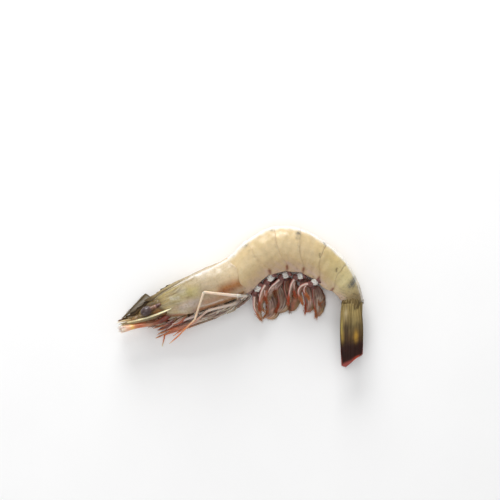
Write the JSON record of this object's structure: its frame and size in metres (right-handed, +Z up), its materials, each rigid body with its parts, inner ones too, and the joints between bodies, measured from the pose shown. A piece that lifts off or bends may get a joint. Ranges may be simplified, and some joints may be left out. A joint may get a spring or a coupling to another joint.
{
  "type": "raw tiger prawn",
  "caption": "Whole raw prawn lying on its side with its back arched, shell, legs, feelers and tail fan on, for food displays and kitchen scenes.",
  "frame": {"origin": "on the table, under the middle of the prawn's box", "axes": "+X from the head to the tail along the longest side, +Y to the arched back, +Z up out of the prawn's left side"},
  "size_m": [0.1357, 0.0764, 0.0253],
  "materials": {
    "shell": "wet translucent cream shell with grey-blue spots",
    "chest": "wet translucent grey-cream shell, olive in front and orange-brown low behind",
    "leg": "translucent grey-cream, orange to the tips",
    "swimmer": "purple-brown bases and red-edged thin blades",
    "tail": "translucent olive with yellow ribs, purple-black and red at the end",
    "feeler": "translucent orange-brown",
    "eye": "glossy purple-black"
  },
  "bodies": {
    "root": {"head_and_chest": "chest", "abdomen_ring_1": "shell", "abdomen_ring_2": "shell", "abdomen_ring_3": "shell", "abdomen_ring_4": "shell", "abdomen_ring_5": "shell", "abdomen_ring_6": "shell", "eye_left": "eye", "antennule_left": "feeler", "antenna_left": "feeler", "antennal_scale_left": "tail", "jaw_leg_left": "leg", "walking_leg_1_left": "leg", "walking_leg_2_left": "leg", "walking_leg_3_left": "leg", "walking_leg_4_left": "leg", "walking_leg_5_left": "leg", "swimming_leg_1_left": "swimmer", "swimming_leg_2_left": "swimmer", "swimming_leg_3_left": "swimmer", "swimming_leg_4_left": "swimmer", "swimming_leg_5_left": "swimmer", "eye_right": "eye", "antennule_right": "feeler", "antenna_right": "feeler", "antennal_scale_right": "tail", "jaw_leg_right": "leg", "walking_leg_1_right": "leg", "walking_leg_2_right": "leg", "walking_leg_3_right": "leg", "walking_leg_4_right": "leg", "walking_leg_5_right": "leg", "swimming_leg_1_right": "swimmer", "swimming_leg_2_right": "swimmer", "swimming_leg_3_right": "swimmer", "swimming_leg_4_right": "swimmer", "swimming_leg_5_right": "swimmer", "telson": "tail", "tail_outer_left": "tail", "tail_inner_left": "tail", "tail_outer_right": "tail", "tail_inner_right": "tail"}
  },
  "joints": []
}
